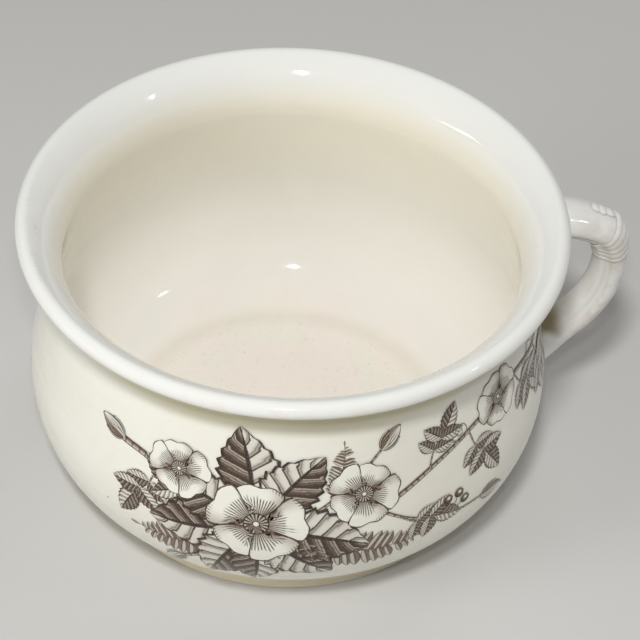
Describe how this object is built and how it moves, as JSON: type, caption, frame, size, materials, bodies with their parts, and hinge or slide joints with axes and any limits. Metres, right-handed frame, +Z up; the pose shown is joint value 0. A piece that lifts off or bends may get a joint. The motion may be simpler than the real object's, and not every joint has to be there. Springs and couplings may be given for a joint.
{
  "type": "chamber pot",
  "caption": "Round glazed earthenware chamber pot with a bellied body, flared rolled lip, foot ring and a moulded branch handle on one side.",
  "frame": {"origin": "centre of the foot ring's standing face, on the body's axis", "axes": "+Z up along the body's axis, +X out along the handle, +Y completes a right-handed set"},
  "size_m": [0.2633, 0.23, 0.138],
  "materials": {
    "printed_glaze": "glossy ivory glaze over a sepia transfer print",
    "plain_glaze": "glossy greyish white glaze",
    "joint_glaze": "glossy glaze pooled over slip"
  },
  "bodies": {
    "root": {"body": "printed_glaze", "handle": "plain_glaze", "handle_collar": "plain_glaze", "handle_leaf": "plain_glaze", "upper_slip_joint": "joint_glaze", "lower_slip_joint": "joint_glaze"}
  },
  "joints": []
}
